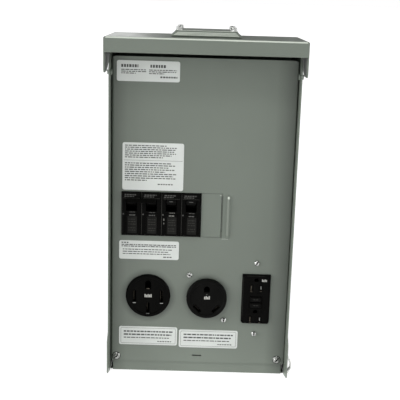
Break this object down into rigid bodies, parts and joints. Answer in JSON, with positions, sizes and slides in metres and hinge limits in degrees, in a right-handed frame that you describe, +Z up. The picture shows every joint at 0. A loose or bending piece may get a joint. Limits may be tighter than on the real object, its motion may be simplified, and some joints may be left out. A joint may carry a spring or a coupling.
{
  "type": "outdoor power outlet panel",
  "caption": "Surface-mounted rain-tight power outlet panel: hooded steel box, dead front with circuit breaker toggles above round and duplex power receptacles.",
  "frame": {"origin": "centre of the flat back mounting face, on the outside of the back wall", "axes": "+Y out of the back into the supporting wall, so the dead front faces -Y; +Z up; +X to the right of someone facing the panel"},
  "size_m": [0.2454, 0.124, 0.4495],
  "materials": {
    "grey_paint": "satin baked enamel over galvanised sheet steel",
    "zinc_steel": "bright zinc plating",
    "galvanised_steel": "galvanised, lightly spangled",
    "black_plastic": "moulded thermoset, fine matt",
    "charcoal_plastic": "moulded thermoplastic, satin",
    "blue_plastic": "moulded insulating base",
    "copper": "plain rolled",
    "aluminium_bar": "extruded, sawn ends",
    "gasket_rubber": "closed-cell sheet",
    "white_label": "printed vinyl film",
    "wire_black": "wire insulation",
    "wire_red": "wire insulation",
    "wire_white": "wire insulation",
    "wire_green": "wire insulation"
  },
  "bodies": {
    "enclosure": {"enclosure_wrap": "grey_paint", "bottom_wall": "grey_paint", "roof_hood": "grey_paint", "hinge_rivet_left": "grey_paint", "hinge_rivet_right": "grey_paint", "hub_closure_plate": "grey_paint", "dead_front": "grey_paint", "breaker_filler_plate": "grey_paint", "hub_screw_1": "zinc_steel", "hub_screw_2": "zinc_steel", "hub_screw_3": "zinc_steel", "hub_screw_4": "zinc_steel", "padlock_staple": "zinc_steel", "dead_front_screw_left": "zinc_steel", "dead_front_screw_right": "zinc_steel", "rv_outlet_screw_upper": "zinc_steel", "rv_outlet_screw_lower": "zinc_steel", "gfci_screw_lower": "zinc_steel", "gfci_screw_upper": "zinc_steel", "range_outlet_bracket": "galvanised_steel", "rv_outlet_strap": "galvanised_steel", "gfci_strap": "galvanised_steel", "interior_pan": "galvanised_steel", "breaker_50a_case": "black_plastic", "breaker_30a_case": "black_plastic", "breaker_20a_case": "black_plastic", "range_outlet_body": "black_plastic", "rv_outlet_body": "black_plastic", "gfci_body": "black_plastic", "neutral_bar_base": "charcoal_plastic", "bus_base": "blue_plastic", "bus_bar_a": "copper", "bus_bar_b": "copper", "line_lug_a": "aluminium_bar", "line_lug_b": "aluminium_bar", "neutral_bar": "aluminium_bar", "ground_bar": "aluminium_bar", "hub_gasket": "gasket_rubber", "label_top": "white_label", "label_upper": "white_label", "label_middle": "white_label", "label_lower_left": "white_label", "label_lower_right": "white_label", "wire_50a_line_1": "wire_black", "wire_30a_line": "wire_black", "wire_20a_line": "wire_black", "wire_50a_line_2": "wire_red", "wire_50a_neutral": "wire_white", "wire_30a_neutral": "wire_white", "wire_20a_neutral": "wire_white", "wire_50a_ground": "wire_green"},
    "toggle_50a": {"toggle_50a_left": "black_plastic", "toggle_50a_right": "black_plastic", "toggle_tie_50a": "black_plastic"},
    "toggle_30a_lever": {"toggle_30a": "black_plastic"},
    "toggle_20a_lever": {"toggle_20a": "black_plastic"},
    "test_button": {"gfci_test_button": "charcoal_plastic"},
    "reset_button": {"gfci_reset_button": "charcoal_plastic"}
  },
  "joints": [
    {"name": "toggle_50a_swing", "type": "hinge", "parent": "enclosure", "child": "toggle_50a", "pos_m": [-0.0762, -0.084, 0.0092], "axis": [1, 0, 0], "range_deg": [0, 40]},
    {"name": "toggle_30a_swing", "type": "hinge", "parent": "enclosure", "child": "toggle_30a_lever", "pos_m": [-0.0384, -0.084, 0.0092], "axis": [1, 0, 0], "range_deg": [0, 40]},
    {"name": "toggle_20a_swing", "type": "hinge", "parent": "enclosure", "child": "toggle_20a_lever", "pos_m": [-0.0132, -0.084, 0.0092], "axis": [1, 0, 0], "range_deg": [0, 40]},
    {"name": "test_button_press", "type": "slide", "parent": "enclosure", "child": "test_button", "axis": [0, 1, 0], "range_m": [0, 0.0015], "stiffness_N_per_m": 400},
    {"name": "reset_button_press", "type": "slide", "parent": "enclosure", "child": "reset_button", "axis": [0, 1, 0], "range_m": [0, 0.0015], "stiffness_N_per_m": 400}
  ]
}
